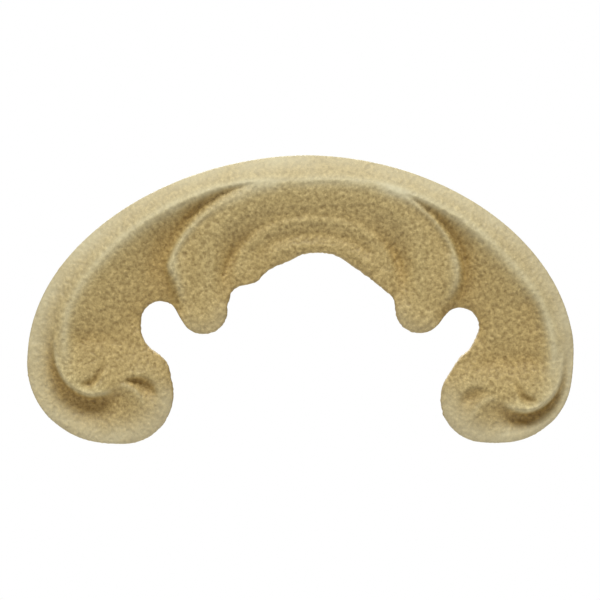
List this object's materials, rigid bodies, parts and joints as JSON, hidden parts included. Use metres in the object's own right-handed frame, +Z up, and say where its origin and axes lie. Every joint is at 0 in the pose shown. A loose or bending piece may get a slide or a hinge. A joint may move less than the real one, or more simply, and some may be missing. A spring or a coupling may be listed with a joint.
{
  "type": "wood pulp applique",
  "caption": "Arched scroll-work applique of pressed wood pulp with two volutes and a shell of nested ribs at the crown, flat on the back for gluing.",
  "frame": {"origin": "on the flat back face, behind the middle of the crown between the volutes", "axes": "+X to the right along the length, +Z up, +Y out of the flat back towards the furniture; the carved front looks along -Y"},
  "size_m": [0.1267, 0.0086, 0.0669],
  "materials": {
    "wood_pulp": "raw, matt, fine granular"
  },
  "bodies": {
    "root": {"scroll_applique": "wood_pulp"}
  },
  "joints": []
}
